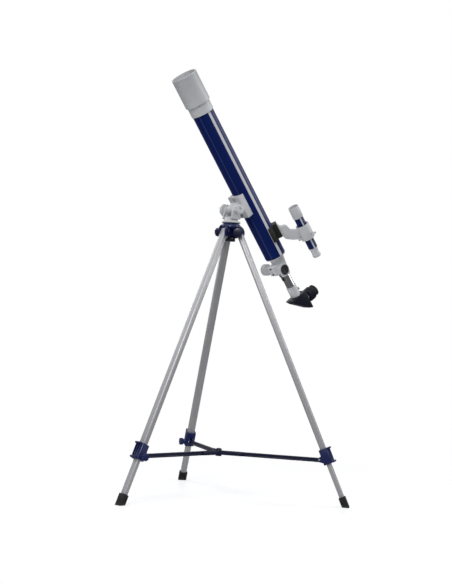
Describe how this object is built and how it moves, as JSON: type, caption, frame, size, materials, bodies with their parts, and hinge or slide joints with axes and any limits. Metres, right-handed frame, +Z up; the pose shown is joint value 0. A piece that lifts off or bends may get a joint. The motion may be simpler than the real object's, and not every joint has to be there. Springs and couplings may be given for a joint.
{
  "type": "telescope on tripod",
  "caption": "Small refracting telescope with finder and angled eyepiece, on an alt-azimuth yoke and a folding extendable tripod.",
  "frame": {"origin": "on the floor, under the middle of the object's box at rest", "axes": "+Z up; the telescope points up and towards -X and -Y, and +X runs to the right foot"},
  "size_m": [0.658, 0.6722, 1.2368],
  "materials": {
    "navy_paint": "gloss navy enamel with a pale stripe",
    "navy_plastic": "semi-gloss moulded navy plastic",
    "white_plastic": "satin moulded light grey plastic",
    "black_plastic": "semi-gloss moulded black plastic",
    "black_rubber": "matt black rubber",
    "aluminium": "satin anodised extrusion, fine lengthwise grain",
    "chrome": "polished",
    "steel": "plated screws and shaft",
    "lens_glass": "coated optical glass"
  },
  "bodies": {
    "stand": {"crown": "navy_plastic"},
    "spreader_hub_body": {"spreader_hub": "navy_plastic"},
    "yoke_body": {"yoke": "white_plastic"},
    "azimuth_lock": {"azimuth_lock_knob": "navy_plastic"},
    "altitude_lock_far": {"altitude_knob_far": "white_plastic"},
    "altitude_lock_near": {"altitude_knob_near": "white_plastic"},
    "telescope": {"saddle": "white_plastic", "saddle_screw_front": "steel", "saddle_screw_rear": "steel", "main_tube": "navy_paint", "objective_cell": "white_plastic", "objective_lens": "lens_glass", "dew_shield": "white_plastic", "focuser_body": "white_plastic", "pinion_cover": "white_plastic", "cover_screw_1": "black_plastic", "cover_screw_2": "black_plastic", "finder_shoe": "black_plastic", "finder_bracket": "white_plastic", "finder_tube": "navy_paint", "finder_hood": "white_plastic", "finder_objective_lens": "lens_glass", "finder_eyepiece": "white_plastic"},
    "drawtube_body": {"drawtube": "chrome", "rack": "black_plastic", "eyepiece_holder": "white_plastic"},
    "focus_drive": {"pinion_shaft": "steel", "focus_knob_far": "white_plastic", "focus_knob_near": "white_plastic", "focus_knob_cap": "black_plastic"},
    "diagonal": {"diagonal_housing": "black_plastic"},
    "eyepiece": {"eyepiece_barrel": "black_plastic", "eyecup": "black_rubber", "eyepiece_lens": "lens_glass"},
    "holder_screw": {"holder_set_screw": "steel"},
    "finder_screw_body_1": {"finder_screw_1": "white_plastic"},
    "finder_screw_body_2": {"finder_screw_2": "white_plastic"},
    "finder_screw_body_3": {"finder_screw_3": "white_plastic"},
    "bracket_knob": {"finder_bracket_knob": "white_plastic"},
    "leg_1": {"leg_upper_1": "aluminium", "leg_collar_1": "navy_plastic"},
    "leg_1_lower": {"leg_lower_1": "aluminium", "foot_cap_1": "black_rubber"},
    "arm_1": {"spreader_arm_1": "navy_plastic"},
    "hinge_bolt_1": {"leg_hinge_bolt_1": "navy_plastic"},
    "collar_lock_1": {"collar_lock_knob_1": "navy_plastic"},
    "leg_2": {"leg_upper_2": "aluminium", "leg_collar_2": "navy_plastic"},
    "leg_2_lower": {"leg_lower_2": "aluminium", "foot_cap_2": "black_rubber"},
    "arm_2": {"spreader_arm_2": "navy_plastic"},
    "hinge_bolt_2": {"leg_hinge_bolt_2": "navy_plastic"},
    "collar_lock_2": {"collar_lock_knob_2": "navy_plastic"},
    "leg_3": {"leg_upper_3": "aluminium", "leg_collar_3": "navy_plastic"},
    "leg_3_lower": {"leg_lower_3": "aluminium", "foot_cap_3": "black_rubber"},
    "arm_3": {"spreader_arm_3": "navy_plastic"},
    "hinge_bolt_3": {"leg_hinge_bolt_3": "navy_plastic"},
    "collar_lock_3": {"collar_lock_knob_3": "navy_plastic"}
  },
  "joints": [
    {"name": "leg_1_fold", "type": "hinge", "parent": "stand", "child": "leg_1", "pos_m": [-0.02939, -0.04716, 0.778], "axis": [0.2198, 0.9755, 0], "range_deg": [0, 17.06]},
    {"name": "arm_1_fold", "type": "hinge", "parent": "leg_1", "child": "arm_1", "pos_m": [0.23693, -0.10718, 0.1293], "axis": [0.2198, 0.9755, 0], "range_deg": [0, 65.44]},
    {"name": "leg_1_extend", "type": "slide", "parent": "leg_1", "child": "leg_1_lower", "axis": [0.405, -0.0913, -0.9098], "range_m": [-0.095, 0.22]},
    {"name": "hinge_bolt_1_turn", "type": "hinge", "parent": "stand", "child": "hinge_bolt_1", "pos_m": [-0.02939, -0.04716, 0.778], "axis": [0.2198, 0.9755, 0], "continuous": true},
    {"name": "collar_lock_1_turn", "type": "hinge", "parent": "leg_1", "child": "collar_lock_1", "pos_m": [0.25915, -0.11219, 0.12979], "axis": [0.2198, 0.9755, 0], "continuous": true},
    {"name": "leg_2_fold", "type": "hinge", "parent": "stand", "child": "leg_2", "pos_m": [-0.06376, -0.01545, 0.778], "axis": [-0.9548, -0.2974, 0], "range_deg": [0, 17.06]},
    {"name": "arm_2_fold", "type": "hinge", "parent": "leg_2", "child": "arm_2", "pos_m": [-0.14494, 0.2452, 0.1293], "axis": [-0.9548, -0.2974, 0], "range_deg": [0, 65.44]},
    {"name": "leg_2_extend", "type": "slide", "parent": "leg_2", "child": "leg_2_lower", "axis": [-0.1234, 0.3963, -0.9098], "range_m": [-0.095, 0.22]},
    {"name": "hinge_bolt_2_turn", "type": "hinge", "parent": "stand", "child": "hinge_bolt_2", "pos_m": [-0.06376, -0.01545, 0.778], "axis": [-0.9548, -0.2974, 0], "continuous": true},
    {"name": "collar_lock_2_turn", "type": "hinge", "parent": "leg_2", "child": "collar_lock_2", "pos_m": [-0.15171, 0.26695, 0.12979], "axis": [-0.9548, -0.2974, 0], "continuous": true},
    {"name": "leg_3_fold", "type": "hinge", "parent": "stand", "child": "leg_3", "pos_m": [-0.07404, -0.06107, 0.778], "axis": [0.7349, -0.6782, 0], "range_deg": [0, 17.06]},
    {"name": "arm_3_fold", "type": "hinge", "parent": "leg_3", "child": "arm_3", "pos_m": [-0.25918, -0.2617, 0.1293], "axis": [0.7349, -0.6782, 0], "range_deg": [0, 65.44]},
    {"name": "leg_3_extend", "type": "slide", "parent": "leg_3", "child": "leg_3_lower", "axis": [-0.2815, -0.3051, -0.9098], "range_m": [-0.095, 0.22]},
    {"name": "hinge_bolt_3_turn", "type": "hinge", "parent": "stand", "child": "hinge_bolt_3", "pos_m": [-0.07404, -0.06107, 0.778], "axis": [0.7349, -0.6782, 0], "continuous": true},
    {"name": "collar_lock_3_turn", "type": "hinge", "parent": "leg_3", "child": "collar_lock_3", "pos_m": [-0.27462, -0.27844, 0.12979], "axis": [0.7349, -0.6782, 0], "continuous": true},
    {"name": "hub_rise", "type": "slide", "parent": "stand", "child": "spreader_hub_body", "axis": [0, 0, 1], "range_m": [0, 0.1832]},
    {"name": "azimuth_turn", "type": "hinge", "parent": "stand", "child": "yoke_body", "pos_m": [-0.05573, -0.04123, 0.806], "axis": [0, 0, 1], "continuous": true},
    {"name": "azimuth_lock_turn", "type": "hinge", "parent": "stand", "child": "azimuth_lock", "pos_m": [-0.05573, -0.04123, 0.758], "axis": [0, 0, 1], "continuous": true},
    {"name": "altitude_tilt", "type": "hinge", "parent": "yoke_body", "child": "telescope", "pos_m": [-0.05573, -0.04123, 0.847], "axis": [-0.6157, 0.788, 0], "range_deg": [-52, 13]},
    {"name": "altitude_lock_far_turn", "type": "hinge", "parent": "yoke_body", "child": "altitude_lock_far", "pos_m": [-0.05573, -0.04123, 0.847], "axis": [-0.6157, 0.788, 0], "continuous": true},
    {"name": "altitude_lock_near_turn", "type": "hinge", "parent": "yoke_body", "child": "altitude_lock_near", "pos_m": [-0.05573, -0.04123, 0.847], "axis": [-0.6157, 0.788, 0], "continuous": true},
    {"name": "focus_slide", "type": "slide", "parent": "telescope", "child": "drawtube_body", "axis": [-0.4851, -0.379, 0.788], "range_m": [-0.04, 0.038]},
    {"name": "focus_spin", "type": "hinge", "parent": "telescope", "child": "focus_drive", "pos_m": [0.08567, 0.06925, 0.68263], "axis": [-0.6157, 0.788, 0], "range_deg": [-265, 280]},
    {"name": "diagonal_turn", "type": "hinge", "parent": "drawtube_body", "child": "diagonal", "pos_m": [0.1701, 0.13521, 0.5874], "axis": [-0.4851, -0.379, 0.788], "continuous": true},
    {"name": "eyepiece_pull", "type": "slide", "parent": "diagonal", "child": "eyepiece", "axis": [0.621, 0.4851, 0.6157], "range_m": [0, 0.05]},
    {"name": "holder_screw_turn", "type": "hinge", "parent": "drawtube_body", "child": "holder_screw", "pos_m": [0.15021, 0.11967, 0.61971], "axis": [0.621, 0.4851, 0.6157], "continuous": true},
    {"name": "bracket_knob_turn", "type": "hinge", "parent": "telescope", "child": "bracket_knob", "pos_m": [0.10692, 0.0369, 0.80325], "axis": [-0.0725, 0.9155, 0.3957], "continuous": true},
    {"name": "finder_screw_1_turn", "type": "hinge", "parent": "telescope", "child": "finder_screw_body_1", "pos_m": [0.1758, 0.04668, 0.79325], "axis": [-0.0725, 0.9155, 0.3957], "continuous": true},
    {"name": "finder_screw_2_turn", "type": "hinge", "parent": "telescope", "child": "finder_screw_body_2", "pos_m": [0.1758, 0.04668, 0.79325], "axis": [-0.7184, -0.3409, -0.6063], "continuous": true},
    {"name": "finder_screw_3_turn", "type": "hinge", "parent": "telescope", "child": "finder_screw_body_3", "pos_m": [0.1758, 0.04668, 0.79325], "axis": [0.7909, -0.5746, 0.2106], "continuous": true}
  ],
  "couplings": [
    {"joint": "arm_1_fold", "follows": "leg_1_fold", "ratio": 3.8072},
    {"joint": "leg_2_fold", "follows": "leg_1_fold", "ratio": 1},
    {"joint": "arm_2_fold", "follows": "leg_1_fold", "ratio": 3.8072},
    {"joint": "leg_3_fold", "follows": "leg_1_fold", "ratio": 1},
    {"joint": "arm_3_fold", "follows": "leg_1_fold", "ratio": 3.8072},
    {"joint": "hub_rise", "follows": "leg_1_fold", "m_per_rad": 0.60854},
    {"joint": "focus_spin", "follows": "focus_slide", "rad_per_m": -119.05}
  ]
}
